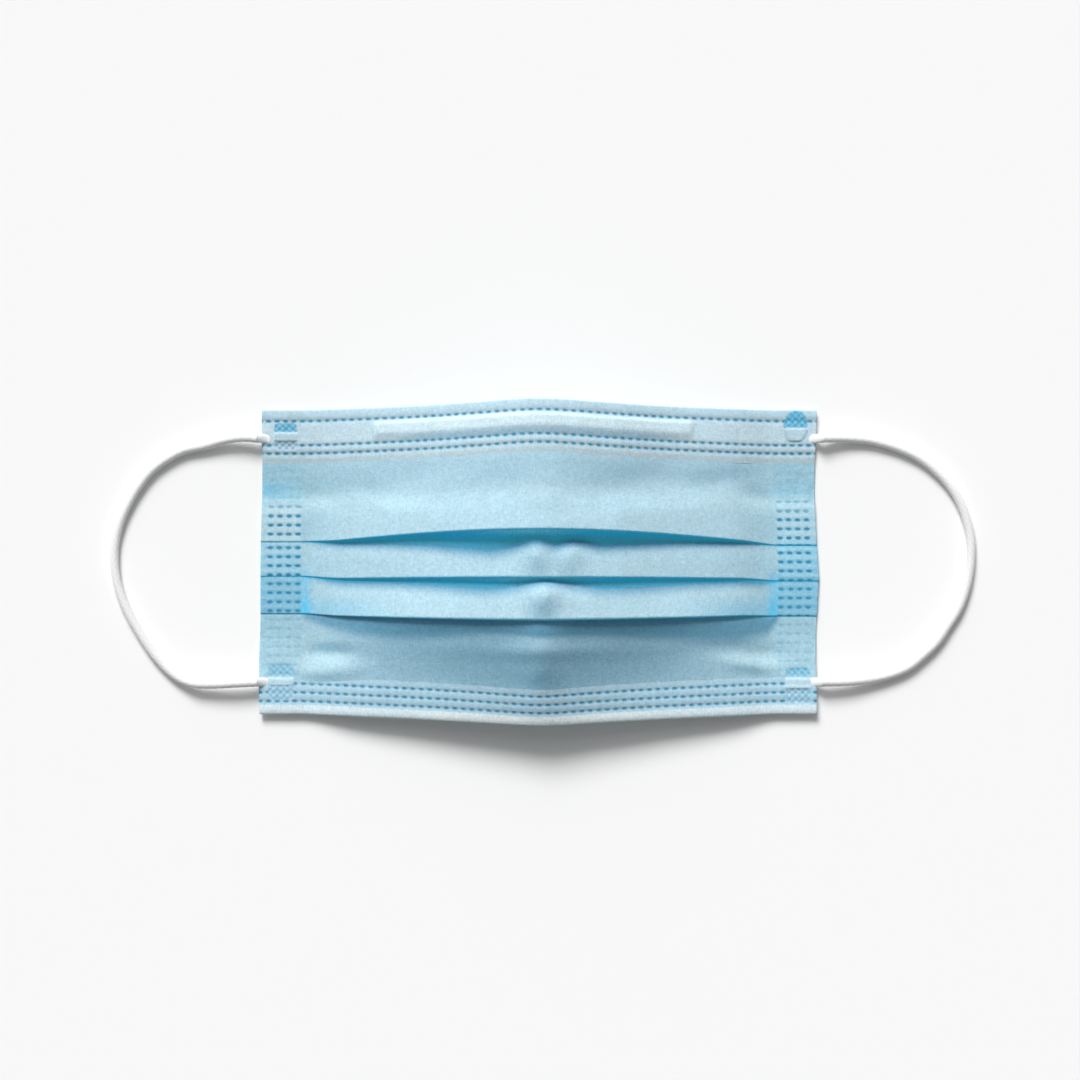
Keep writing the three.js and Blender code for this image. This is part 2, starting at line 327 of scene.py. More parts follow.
@dataclass(frozen=True)
class KnittedElastic:
    """White round elastic with a fine knit."""

    name: str = "knitted_elastic"
    yarn: Colour = (0.88, 0.88, 0.87)
    shade: Colour = (0.62, 0.63, 0.64)

    def material(self) -> bpy.types.Material:
        """Return the cord's material."""
        graph = ShaderGraph(self.name)
        painted_hollow_shade, wear, _ = graph.channels("dye_with_painted_light")
        fuzz = graph.noise(scale=1500.0, detail=3.0)
        # The hollows between the knit's ribs are painted darker, as painted shade; wear and fuzz grey the
        # yarn as well.
        dull = painted_hollow_shade * 0.35 + wear * 0.5 + (fuzz - 0.5) * 0.25
        return graph.finish(
            {
                "Base Color": graph.mix(self.yarn, self.shade, dull.clamped()),
                "Roughness": 0.8,
                "Specular IOR Level": 0.3,
                "Sheen Weight": 0.2,
                "Normal": graph.bump(strength=0.4, depth=0.0002, height=fuzz),
            }
        )


@dataclass(frozen=True)
class CoatedWire:
    """The nose wire's white plastic coat."""

    name: str = "coated_wire"
    coat: Colour = (0.86, 0.88, 0.9)
    streak: Colour = (0.7, 0.74, 0.78)

    def material(self) -> bpy.types.Material:
        """Return the wire's material."""
        graph = ShaderGraph(self.name)
        drawn = graph.noise(scale=300.0, detail=2.0, stretch=(0.05, 1.0, 1.0))
        colour = graph.mix(self.coat, self.streak, drawn * 0.4)
        normal = graph.bump(strength=0.2, depth=0.0001, height=drawn)
        return graph.finish({"Base Color": colour, "Roughness": 0.42, "Normal": normal})


@dataclass(frozen=True)
class TableTop:
    """The plain white table."""

    name: str = "table_top"
    paint: Colour = (0.93, 0.93, 0.93)
    speckle: Colour = (0.92, 0.92, 0.92)

    def material(self) -> bpy.types.Material:
        """Return the table's material."""
        graph = ShaderGraph(self.name)
        grain = graph.noise(scale=40.0, detail=2.0)
        colour = graph.mix(self.paint, self.speckle, grain * 0.2)
        return graph.finish({"Base Color": colour, "Roughness": 0.9, "Specular IOR Level": 0.1})


# The outer ply's deep and film colours also draw the blue and the grey shade painted below the folds.
OUTER = NonWoven(
    name="outer_cloth",
    cloth=(0.42, 0.615, 0.705),
    deep=(0.008, 0.46, 0.78),
    pale=(0.62, 0.77, 0.83),
    film=(0.045, 0.245, 0.40),
)
NOSE = NonWoven(
    name="nose_hem_cloth",
    cloth=(0.43, 0.59, 0.68),
    deep=(0.02, 0.38, 0.66),
    pale=(0.64, 0.80, 0.88),
    film=(0.08, 0.30, 0.45),
)
CHIN = NonWoven(
    name="chin_hem_cloth",
    cloth=(0.385, 0.575, 0.685),
    deep=(0.02, 0.38, 0.66),
    pale=(0.80, 0.90, 0.94),
    film=(0.08, 0.30, 0.45),
)
INNER = NonWoven(
    name="inner_cloth",
    cloth=(0.82, 0.85, 0.87),
    deep=(0.5, 0.7, 0.8),
    pale=(0.9, 0.9, 0.9),
    film=(0.6, 0.7, 0.75),
    glow=0.5,
)


@dataclass(frozen=True)
class Line:
    """A line from side to side over the cloth's middle surface, in millimetres.

    heights gives its height at each distance from the middle in ACROSS. peak is how much its
    sweep comes to a point in the middle, where the mask was folded in half. rows is how many
    steps lead to the next line. turn is the way that the cloth turns back there, -1 towards the
    chin and 1 towards the nose. slant is how far the line lies above its side_y at the left
    band, and below it at the right one.
    """

    name: str
    side_y: float
    mid_y: float
    heights: tuple[float, float, float, float, float]
    peak: float
    rows: int
    turn: int = 0
    slant: float = 0.0


@dataclass(frozen=True)
class Crest:
    """A small rise of a line near the middle, left by the mask's fold in half."""

    line: str
    x: float
    rise: float
    spread: float


ACROSS = (75.0, 60.0, 40.0, 20.0, 0.0)

LINES = (
    Line("nose edge", 46.8, 49.6, (1.2, 3.6, 7.4, 15.2, 18.6), 1.0, 10),
    Line("nose hem", 31.0, 33.4, (1.0, 4.4, 9.2, 17.4, 21.0), 0.9, 18),
    Line("brow", 19.6, 22.5, (0.6, 4.7, 9.7, 17.9, 21.6), 0.5, 26),
    Line("over pleat 1", 17.0, 14.2, (1.0, 5.3, 12.0, 20.3, 24.0), 0.1, 36),
    Line("fold 1", 5.4, 10.2, (1.05, 6.7, 13.3, 21.4, 24.8), 0.0, 8, -1, 0.55),
    Line("tuck 1", 13.0, 17.0, (0.76, 3.6, 7.4, 13.6, 16.0), 0.0, 8, 1, 0.55),
    Line("panel 2 top", 6.2, 7.2, (0.7, 4.9, 10.3, 16.6, 19.2), 0.0, 14, 0, 0.55),
    Line("panel 2 rise", 1.8, 2.4, (1.0, 5.6, 11.4, 18.1, 20.8), 0.0, 24, 0, 0.6),
    Line("fold 2", -5.65, -4.7, (1.05, 6.3, 12.6, 19.7, 22.6), 0.0, 8, -1, 0.75),
    Line("tuck 2", 1.0, 4.2, (0.76, 3.5, 7.4, 13.0, 15.0), 0.0, 8, 1, 0.75),
    Line("panel 3 top", -5.1, -6.2, (0.7, 5.1, 10.7, 17.0, 19.6), 0.0, 14, 0, 0.75),
    Line("panel 3 rise", -9.9, -10.2, (1.0, 6.2, 12.3, 18.8, 21.6), 0.0, 24, 0, 0.4),
    Line("fold 3", -16.98, -17.75, (1.05, 7.3, 14.7, 20.7, 23.5), 0.1, 8, -1, 0.4),
    Line("tuck 3", -10.8, -8.2, (0.76, 3.8, 8.4, 14.2, 16.4), 0.0, 8, 1, 0.4),
    Line("chin top", -17.8, -19.8, (0.7, 5.8, 12.4, 18.2, 21.2), 0.3, 24, 0, 0.4),
    Line("chin bend", -24.0, -26.4, (0.6, 5.6, 11.0, 16.2, 19.2), 0.5, 24),
    Line("chin slope", -31.0, -33.5, (1.1, 5.0, 8.8, 13.1, 16.4), 0.6, 18),
    Line("chin hem", -36.8, -39.8, (1.6, 4.6, 7.4, 10.9, 13.7), 0.8, 10),
    Line("chin edge", -48.05, -50.9, (2.2, 4.6, 6.8, 9.0, 10.4), 0.7, 0),
)

CRESTS = (
    Crest("panel 2 top", -0.8, 1.8, 4.2),
    Crest("panel 2 rise", -0.8, 2.2, 4.2),
    Crest("panel 2 rise", 9.4, 1.6, 4.0),
    Crest("panel 3 top", 1.7, 0.9, 6.0),
    Crest("panel 3 rise", 1.2, 2.8, 4.6),
    Crest("chin top", 0.0, 0.5, 5.5),
    Crest("chin bend", 0.0, 1.6, 5.4),
    Crest("chin slope", 0.6, 1.7, 5.0),
    Crest("chin hem", 0.8, 0.9, 6.0),
    Crest("chin edge", 0.8, 0.5, 7.0),
)


@dataclass(frozen=True)
class Dent:
    """A soft dent or bulge of the cloth, with its size across and along, in millimetres."""

    x: float
    y: float
    rise: float
    across: float
    along: float
    turn: float = 0.0

    def height(self, x: float, y: np.ndarray) -> np.ndarray:
        """Return the rise at points of a section."""
        c, s = math.cos(math.radians(self.turn)), math.sin(math.radians(self.turn))
        u = ((x - self.x) * c + (y - self.y) * s) / self.across
        v = ((y - self.y) * c - (x - self.x) * s) / self.along
        return self.rise * np.exp(-(u**2) - v**2)


DENTS = (
    Dent(-68.0, 20.0, -0.6, 8.0, 3.6, 6.0),
    Dent(-52.0, 21.0, -0.3, 9.0, 3.0, -14.0),
    Dent(68.0, 20.0, -0.5, 7.0, 2.8, -14.0),
    Dent(58.0, 25.0, -0.6, 10.0, 3.4, 10.0),
    Dent(-67.0, -35.0, 0.9, 9.0, 2.8, 4.0),
    Dent(67.0, -33.0, 0.9, 7.0, 2.4, -8.0),
    Dent(0.0, -28.0, 0.5, 14.0, 2.6, 0.0),
    Dent(-66.0, -29.2, -1.0, 8.0, 2.6, 0.0),
    Dent(74.0, -29.6, -0.85, 9.0, 3.0, 0.0),
    Dent(57.0, -28.0, -0.5, 8.0, 3.0, 0.0),
    Dent(2.0, 15.2, -0.3, 16.0, 2.4, 0.0),
    Dent(-30.0, 24.0, 0.5, 12.0, 4.0, 10.0),
    Dent(24.0, 22.0, -0.5, 12.0, 5.0, 16.0),
    Dent(3.0, 20.0, 0.5, 5.0, 9.0, 0.0),
    Dent(40.0, 20.0, 0.4, 10.0, 4.0, -8.0),
)


@dataclass(frozen=True)
class Gap:
    """The shadow painted below a fold, in millimetres.

    tone is how deep the painted blue shade is, and core is how much of the gap's width that blue
    fills. murk is how strong the grey shade painted on the cloth below it is, and fade is how far
    that reaches. pinch is how much less far it reaches in the middle. widths gives the gap's width
    at each x in places.
    """

    fold: str
    tone: float
    core: float
    murk: float
    fade: float
    pinch: float
    places: tuple[float, ...]
    widths: tuple[float, ...]

    def reach(self, x: float, wide: float) -> float:
        """Return how far the dusk fades out at x, below a gap of that width."""
        pinched = 1.0 - self.pinch * float(bell(x, 2.0, 30.0))
        return self.fade * (0.4 + 0.12 * wide) * pinched

    def shade(self, x: float, form: "MaskForm", line: Outline, marks: np.ndarray) -> np.ndarray:
        """Return the shadow painted below the fold, as what it adds to the colour channels of a section.

        Args:
            x: The section's x.
            form: The mask's shape.
            line: The section's upper side.
            marks: How far each row is along the table of lines.

        Returns:
            Weld, depth and pallor, a row each.
        """
        k = [entry.name for entry in LINES].index(self.fold)
        edge = float(form.place(x)[k][0])
        wide = float(np.interp(x, self.places, self.widths))
        y = line[:, 0]
        below = window((k + 0.05, k + 0.2), (k + 3.8, k + 3.9), marks)
        # curl marks the fold's underside, where the deep blue of painted shade goes.
        curl = smooth(1.0, 0.98, np.abs(marks - k)) * smooth(0.97, 0.6, normals_of(line)[:, 1])
        soft = 0.5 + 0.2 * wide
        core = edge - self.core * wide
        # The core of the painted shadow: deep blue from the fold's edge down across the gap.
        dark = self.tone * below * smooth(core - soft, core + soft, y)
        lit = self.tone * smooth(edge - 0.3 * wide, edge - 0.75 * wide, y)
        foot = edge - wide
        fade = smooth(foot - self.reach(x, wide), foot + 0.6, y) * smooth(0.2, 1.6, wide)
        # Grey painted shade below the gap, fading out downwards.
        murk = below * fade * (dark * lit + (1.0 - dark) * self.murk)
        dusk = self.tone * curl * (1.0 - below) + dark
        # Painted light: the top of the gap is painted paler near the middle.
        painted_gap_light = dark * 0.9 * float(bell(x, -3.0, 14.0)) * smooth(edge - 2.8, edge - 0.4, y)
        return np.stack([murk, dusk, painted_gap_light])


# The shadows painted below the three folds.
GAPS = (
    Gap(
        fold="fold 1",
        tone=1.0,
        core=1.0,
        murk=0.9,
        fade=4.2,
        pinch=0.0,
        places=(-76, -66, -60, -47, -34, -22, -15, -10, -1, 2, 5, 10, 14, 19, 32, 47, 63, 76),
        widths=(0.3, 1.2, 1.7, 2.8, 4.2, 5.8, 6.4, 5.9, 3.9, 4.4, 5.2, 3.9, 4.2, 5.2, 4.0, 2.6, 1.3, 0.4),
    ),
    Gap(
        fold="fold 2",
        tone=1.0,
        core=1.0,
        murk=0.8,
        fade=5.5,
        pinch=0.0,
        places=(-76, -66, -60, -44, -34, -17, -11, -5, 2, 7, 19, 32, 47, 60, 70, 76),
        widths=(0.3, 1.2, 1.5, 2.0, 2.6, 3.8, 3.5, 2.6, 1.5, 2.1, 3.6, 3.3, 2.2, 1.6, 1.3, 0.3),
    ),
    Gap(
        fold="fold 3",
        tone=0.5,
        core=0.34,
        murk=0.72,
        fade=4.8,
        pinch=0.7,
        places=(-76, -74, -66, -56, -44, -34, -19, -9, 0, 19, 35, 50, 63, 72, 75, 76),
        widths=(0.3, 1.0, 2.8, 4.4, 5.2, 4.9, 4.2, 4.6, 5.6, 4.9, 5.2, 5.8, 6.2, 4.2, 1.2, 0.3),
    ),
)

# How far the two ends of the mask stray from straight, at each y in EDGE_SPOTS.
EDGE_SPOTS = (-50.0, -40.0, -31.0, -19.0, -6.0, 6.0, 19.0, 31.0, 44.0, 50.0)
LEFT_WANDER = (-0.5, -0.8, -0.8, -0.4, -0.4, -0.3, 0.1, 0.2, 0.1, 0.1)
RIGHT_WANDER = (-0.3, -0.3, -0.5, -0.2, 0.6, -0.2, -0.8, -0.8, -0.3, -0.2)


@dataclass(frozen=True)
class Knurl:
    """A patch that a knurled tool pressed and fused over the end of an ear loop, in millimetres.

    deep is a stretch of y that it fused harder, and how strongly. cord is the stretch of y that
    the flattened cord covers. ring is how strongly its rim is fused.
    """

    centre: tuple[float, float]
    half: tuple[float, float]
    squareness: float
    deep: tuple[float, float, float]
    cord: tuple[float, float]
    ring: float = 0.0
    pitch: float = 2.1
    soft: float = 0.4
    cord_rise: float = 0.25
    point_height: float = 0.14
    sink: float = 0.15

    def reach(self, x: float, y: np.ndarray) -> np.ndarray:
        """Return 0 in the patch's middle and 1 on its rim."""
        u = abs(x - self.centre[0]) / self.half[0]
        v = np.abs(y - self.centre[1]) / self.half[1]
        return (u**self.squareness + v**self.squareness) ** (1.0 / self.squareness)

    def inside(self, x: float, y: np.ndarray) -> np.ndarray:
        """Return 1 in the patch and 0 outside it."""
        return smooth(1.06, 0.88, self.reach(x, y))

    def points(self, x: float, y: np.ndarray) -> np.ndarray:
        """Return the knurl's pattern, from -1 in its pits to 1 on its points."""
        return math.cos(x * 2 * math.pi / self.pitch) * np.cos(y * 2 * math.pi / self.pitch)

    def stretch(self, low: float, high: float, y: np.ndarray) -> np.ndarray:
        """Return 1 between two places and 0 beyond them."""
        soft = self.soft
        return window((low - soft, low + soft), (high - soft, high + soft), y)

    def relief(self, x: float, y: np.ndarray) -> np.ndarray:
        """Return the height that the patch adds."""
        strip = self.stretch(*self.cord, y)
        knurled = self.point_height * self.points(x, y) - self.sink
        return self.inside(x, y) * (self.cord_rise * strip + knurled * (1.0 - strip))

    def stain(self, x: float, y: np.ndarray, tint: np.ndarray) -> np.ndarray:
        """Return a section's colour channels with the patch laid over them.

        Args:
            x: The section's x.
            y: The points' y.
            tint: Weld, depth and pallor for each point.

        Returns:
            The channels, changed inside the patch.
        """
        inside = self.inside(x, y)[:, None]
        strip = self.stretch(*self.cord, y)
        pits = 0.5 - 0.5 * self.points(x, y)
        low, high, strength = self.deep
        strong = strength * self.stretch(low, high, y) * (1.0 - strip)
        rim = self.ring * bell(self.reach(x, y), 0.92, 0.08)
        weld = (1.0 - strip) * (0.12 + 0.6 * strong) * pits + 0.35 * rim
        depth = (1.0 - strip) * (0.14 + strong * (0.3 + 0.45 * pits)) + 0.3 * rim
        own = np.stack([weld, depth, 0.25 * strip * (1.0 - rim)], axis=1)
        return tint * (1.0 - inside) + own * inside


KNURLS = (
    Knurl((-80.0, 38.8), (3.7, 4.3), 6.0, (40.4, 44.0, 0.85), (37.4, 40.0)),
    Knurl((80.9, 41.8), (3.9, 5.2), 2.0, (41.9, 48.0, 1.0), (37.4, 41.3), 0.4),
    Knurl((-80.7, -38.4), (4.0, 5.7), 6.0, (-36.0, -32.0, 0.3), (-39.4, -37.0)),
    Knurl((81.7, -39.4), (4.0, 5.6), 6.0, (-36.0, -33.0, 0.45), (-40.4, -37.2)),
)


def wedge(x: float, soft: float = 9.0, spread: float = 34.0) -> float:
    """Return a sweep of height 1 that comes to a soft point in the middle and ends at the bands."""
    reaches = (0.0, min(abs(x), BAND_INNER), BAND_INNER)
    near, here, far = (math.exp(-math.hypot(reach, soft) / spread) for reach in reaches)
    return (here - far) / (near - far)


def height_across(heights: Sequence[float], x: float) -> float:
    """Read a line's height at a distance from the middle.

    Args:
        heights: The heights at ACROSS.
        x: The distance.

    Returns:
        The height, on a smooth curve that is level at the middle and in the bands.
    """
    spots = (*ACROSS, -ACROSS[3])
    values = (*heights, heights[3])
    reach = min(abs(x), ACROSS[0])
    k = next(i for i in range(4) if reach >= ACROSS[i + 1] - 1e-9)
    far, near = spots[k], spots[k + 1]
    slope_near = (values[k] - values[k + 2]) / (spots[k] - spots[k + 2])
    slope_far = (values[k - 1] - values[k + 1]) / (spots[k - 1] - spots[k + 1]) if k else 0.0
    t = (reach - near) / (far - near)
    h01 = t * t * (3 - 2 * t)
    inner = values[k + 1] * (1 - h01) + values[k] * h01
    bend = slope_near * t * (1 - t) ** 2 - slope_far * t * t * (1 - t)
    return inner + bend * (far - near)


@dataclass
class MaskForm:
    """The shape that the cloth, the hems and the welds all follow, in millimetres.

    side_radius and middle_radius are how widely the folds turn at the bands and in the middle,
    in turn_steps points. The crease is where the mask was folded in half. slant_ends is the
    stretch beside each band where the lines take on their slant.
    """

    side_radius: float = 0.12
    middle_radius: float = 0.495
    cloth_thickness: float = 0.5
    band_thickness: float = 0.2
    swing_power: float = 1.06
    crease_x: float = 1.2
    crease_rise: float = 0.5
    crease_spread: float = 6.0
    crease_soft: float = 0.8
    slant_ends: tuple[float, float] = (62.0, 76.0)
    turn_steps: int = 5

    def wander(self, points: np.ndarray) -> np.ndarray:
        """Return points moved a little at the ends, which aren't cut quite straight."""
        x, y = points[..., 0], points[..., 1]
        left = np.interp(y, EDGE_SPOTS, LEFT_WANDER) * smooth(-60.0, -HALF_WIDTH, x)
        right = np.interp(y, EDGE_SPOTS, RIGHT_WANDER) * smooth(60.0, HALF_WIDTH, x)
        moved = points.copy()
        moved[..., 0] += left + right
        return moved

    def half_thickness(self, x: float) -> float:
        """Return half of the cloth's thickness, which the welds of the bands press thinner."""
        pressed = float(smooth(BAND_INNER - 30.0, BAND_INNER, abs(x)))
        return (self.cloth_thickness + (self.band_thickness - self.cloth_thickness) * pressed) / 2

    def place(self, x: float) -> np.ndarray:
        """Return where each line is.

        Args:
            x: The distance from the middle.

        Returns:
            One row of y and z for each line.
        """
        swing = math.cos(min(1.0, abs(x) / BAND_INNER) * math.pi / 2) ** self.swing_power
        off_crease = (x - self.crease_x) / self.crease_spread
        crease = self.crease_rise * math.exp(-math.hypot(off_crease, self.crease_soft))
        slant = math.copysign(float(smooth(*self.slant_ends, abs(x))), x)
        rows = []
        for line in LINES:
            rise = sum(c.rise * float(bell(x, c.x, c.spread)) for c in CRESTS if c.line == line.name)
            sweep = line.peak * wedge(x) + (1.0 - line.peak) * swing
            y = line.side_y + (line.mid_y - line.side_y) * sweep - line.slant * slant
            rows.append((y, height_across(line.heights, x) + rise + crease))
        return np.array(rows)

    def runs(self) -> list[list[int]]:
        """Return the lines between one turn and the next, as lists of places in the table."""
        found: list[list[int]] = [[]]
        for i, line in enumerate(LINES):
            found[-1].append(i)
            if line.turn:
                found.append([i])
        return found

    def middle(self, x: float) -> Outline:
        """Return the cloth's middle surface.

        Args:
            x: The distance from the middle.

        Returns:
            Its points as y and z, from the nose edge to the chin edge.
        """
        places = self.place(x)
        nearness = max(0.0, 1.0 - abs(x) / BAND_INNER)
        radius = self.side_radius + (self.middle_radius - self.side_radius) * nearness
        angles = np.linspace(0.0, math.pi, self.turn_steps + 2)[1:-1]
        points: list[np.ndarray] = []
        start_offset = np.zeros(2)
        for run in self.runs():
            corners = places[run].copy()
            corners[0] += start_offset
            points.append(flowing(corners, [LINES[i].rows for i in run[:-1]]))
            turn = LINES[run[-1]].turn
            if turn:
                arc_y = corners[-1][0] + turn * radius * np.sin(angles)
                arc_z = corners[-1][1] - radius * (1.0 - np.cos(angles))
                points.append(np.stack([arc_y, arc_z], axis=1))
                start_offset = np.array([0.0, -2.0 * radius])
        return np.concatenate(points)

    def row_marks(self) -> np.ndarray:
        """Return, for each row of middle(), how far it is along the table of lines."""
        marks: list[float] = []
        for run in self.runs():
            for a, b in zip(run[:-1], run[1:]):
                marks.extend(np.linspace(a, b, LINES[a].rows, endpoint=False))
            marks.append(float(run[-1]))
            if LINES[run[-1]].turn:
                marks.extend([run[-1] + 0.001] * self.turn_steps)
        return np.array(marks)

    def edge_strip(self, x: float, edge: Edge) -> Outline:
        """Return the cloth's middle surface near one edge.

        Args:
            x: The distance from the middle.
            edge: The edge.

        Returns:
            Points from the edge inwards, as y and z.
        """
        places = self.place(x) if edge is Edge.NOSE else self.place(x)[::-1]
        return flowing(places[:4], (30, 20, 10))


def flowing(corners: np.ndarray, counts: Sequence[int]) -> np.ndarray:
    """Draw a flowing curve through corners.

    Args:
        corners: The points that it passes.
        counts: How many steps there are from each corner to the next.

    Returns:
        The curve's points, both ends among them.
    """
    steps = np.linalg.norm(np.diff(corners, axis=0), axis=1)
    slopes = np.diff(corners, axis=0) / steps[:, None]
    tangents = [slopes[0]]
    for i in range(1, len(corners) - 1):
        a, b = steps[i - 1], steps[i]
        tangents.append((slopes[i - 1] * b + slopes[i] * a) / (a + b))
    tangents.append(slopes[-1])
    points = []
    for i, count in enumerate(counts):
        t = np.linspace(0.0, 1.0, count, endpoint=False)[:, None]
        h00 = 2 * t**3 - 3 * t**2 + 1
        h10 = t**3 - 2 * t**2 + t
        h01 = 3 * t**2 - 2 * t**3
        h11 = t**3 - t**2
        inner = h00 * corners[i] + h01 * corners[i + 1]
        points.append(inner + (h10 * tangents[i] + h11 * tangents[i + 1]) * steps[i])
    points.append(corners[-1:])
    return np.concatenate(points)


def normals_of(line: Outline) -> np.ndarray:
    """Return the unit normals of a line of y and z, on the upper side when it runs towards -Y."""
    forward = np.diff(line, axis=0)
    forward /= np.maximum(np.linalg.norm(forward, axis=1), 1e-9)[:, None]
    come = np.concatenate([forward[:1], forward])
    go = np.concatenate([forward, forward[-1:]])
    along = come + go
    along /= np.maximum(np.linalg.norm(along, axis=1), 1e-9)[:, None]
    return np.stack([along[:, 1], -along[:, 0]], axis=1)


def new_piece(
    name: str, points: np.ndarray, faces: list, dye_with_painted_light: np.ndarray, materials: Sequence[bpy.types.Material]
) -> bpy.types.Object:
    """Make a smooth mesh with its colour channels stored in it, and put it in the scene.

    Args:
        name: The piece's name.
        points: Its vertices, in metres.
        faces: Its faces, as lists of vertex numbers.
        dye_with_painted_light: Three channels for each vertex.
        materials: Its materials.

    Returns:
        The piece.
    """
    mesh = bpy.data.meshes.new(name)
    mesh.from_pydata(points.tolist(), [], faces)
    mesh.polygons.foreach_set("use_smooth", np.ones(len(faces), dtype=bool))
    # The channels hold colour together with painted light and shade.
    layer = mesh.color_attributes.new("dye_with_painted_light", "FLOAT_COLOR", "POINT")
    filled = np.concatenate([np.clip(dye_with_painted_light, 0.0, 1.0), np.ones((len(dye_with_painted_light), 1))], axis=1)
    layer.data.foreach_set("color", filled.astype(np.float32).ravel())
    for material in materials:
        mesh.materials.append(material)
    mesh.update()
    piece = bpy.data.objects.new(name, mesh)
    bpy.context.scene.collection.objects.link(piece)
    return piece


@dataclass
class Shell:
    """A closed sheet of cloth, gathered section by section from the left end to the right one."""

    name: str
    form: MaskForm
    tops: list[np.ndarray] = field(default_factory=list)
    unders: list[np.ndarray] = field(default_factory=list)
    tints: list[np.ndarray] = field(default_factory=list)

    def add(self, x: float, top: Outline, under: Outline, tint: np.ndarray) -> None:
        """Add a section.

        Args:
            x: Its x.
            top: Its outer side, as y and z.
            under: Its inner side, with every other point and both ends.
            tint: The outer side's colour channels.
        """
        for side, line in ((self.tops, top), (self.unders, under)):
            side.append(np.column_stack([np.full(len(line), x), line]))
        self.tints.append(tint)

    def close(self, above: bpy.types.Material, below: bpy.types.Material) -> bpy.types.Object:
        """Join the sections to a sheet.

        Args:
            above: The outer side's material.
            below: The inner side's material.

        Returns:
            The finished piece.
        """
        upper = self.form.wander(np.array(self.tops))
        lower = self.form.wander(np.array(self.unders))
        dye_with_painted_light = np.array(self.tints)
        count, rows = upper.shape[:2]
        thin = lower.shape[1]
        ring = rows + thin
        points = np.concatenate([upper, lower[:, ::-1]], axis=1).reshape(-1, 3) * MM
        tint = np.concatenate([dye_with_painted_light, dye_with_painted_light[:, ::2][:, ::-1]], axis=1).reshape(-1, 3)
        c = np.arange(count - 1)[:, None] * ring
        i = np.arange(ring)[None, :]
        j = (i + 1) % ring
        faces = np.stack([c + i, c + j, c + ring + j, c + ring + i], axis=-1).reshape(-1, 4).tolist()
        slots = ([k >= rows for k in range(ring - 1)] + [False]) * (count - 1)
        for base, turned in ((0, True), ((count - 1) * ring, False)):
            for k in range(thin - 1):
                last = base + ring - 1 - k
                cap = [base + 2 * k, base + 2 * k + 1, base + 2 * k + 2, last - 1, last]
                faces.append(cap[::-1] if turned else cap)
                slots.append(False)
        piece = new_piece(self.name, points, faces, tint, (above, below))
        piece.data.polygons.foreach_set("material_index", np.array(slots, dtype=np.int32))
        return piece


def arc_stations(height: Callable[[float], float], pitch: float) -> tuple[np.ndarray, np.ndarray]:
    """Spread stations along the arched cloth: evenly, and twice as close in the bands.

    Args:
        height: Height at x, along the line where the spacing is even.
        pitch: The distance between stations, along the cloth.

    Returns:
        The stations' x, and their distance from the middle along the cloth.
    """
    fine = np.linspace(0.0, HALF_WIDTH, 701)
    length = distances(np.column_stack([fine, [height(x) for x in fine]]))
    band = float(np.interp(BAND_INNER, fine, length))
    wide = np.arange(0.0, band, pitch)
    close = np.arange(band, length[-1] - pitch / 4, pitch / 2)
    along = np.concatenate([wide, close, length[-1:]])
    half = np.interp(along, length, fine)
    return np.concatenate([-half[:0:-1], half]), np.concatenate([-along[:0:-1], along])


